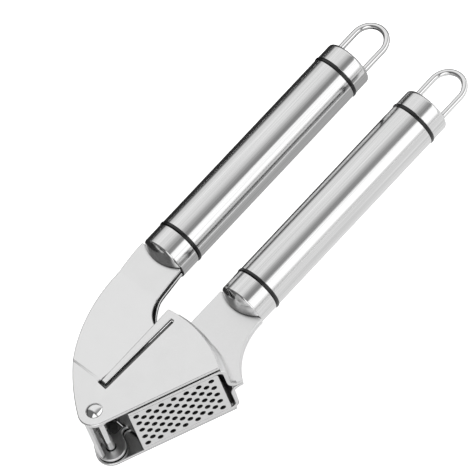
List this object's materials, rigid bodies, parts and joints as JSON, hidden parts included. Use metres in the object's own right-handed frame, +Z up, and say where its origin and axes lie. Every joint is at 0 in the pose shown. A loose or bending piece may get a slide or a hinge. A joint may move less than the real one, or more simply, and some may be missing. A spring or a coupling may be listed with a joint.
{
  "type": "garlic press",
  "caption": "Hand garlic press: two tube handles with black rings and wire hanging loops, hinged cheeks with a press block, and a perforated basket.",
  "frame": {"origin": "middle of the base rectangle, on the plane of the far cheek's flat outer face, with the press closed and lying on that face", "axes": "+X along the handles towards the hanging loops, +Y across from the lower handle to the upper handle, +Z up along the hinge pin towards its domed head"},
  "size_m": [0.2058, 0.0746, 0.0327],
  "materials": {
    "cheek_steel": "satin pressed stainless sheet",
    "basket_steel": "satin pressed stainless sheet",
    "press_steel": "plain folded stainless sheet",
    "sieve_steel": "bright punched stainless sheet",
    "tube_steel": "lengthwise brushed tube",
    "polished_steel": "polished",
    "ring_plastic": "black moulded ring",
    "core_plastic": "moulded core"
  },
  "bodies": {
    "lower_arm": {"lower_near_plate": "basket_steel", "lower_far_plate": "basket_steel", "sieve_plate": "sieve_steel", "nose_web": "basket_steel", "hinge_rivet": "polished_steel", "lower_front_collar": "tube_steel", "lower_front_plug": "core_plastic", "lower_front_ring": "ring_plastic", "lower_grip_tube": "tube_steel", "lower_rear_ring": "ring_plastic", "lower_rear_plug": "core_plastic", "lower_rear_cap": "tube_steel", "lower_hang_loop": "polished_steel"},
    "upper_arm": {"upper_near_plate": "cheek_steel", "upper_far_plate": "cheek_steel", "upper_spine": "cheek_steel", "press_block": "press_steel", "pressing_plate": "press_steel", "upper_front_collar": "tube_steel", "upper_front_plug": "core_plastic", "upper_front_ring": "ring_plastic", "upper_grip_tube": "tube_steel", "upper_rear_ring": "ring_plastic", "upper_rear_plug": "core_plastic", "upper_rear_cap": "tube_steel", "upper_hang_loop": "polished_steel"}
  },
  "joints": [
    {"name": "main_hinge", "type": "hinge", "parent": "lower_arm", "child": "upper_arm", "pos_m": [-0.09625, -0.00672, 0.0155], "axis": [0, 0, 1], "range_deg": [0, 150]}
  ]
}
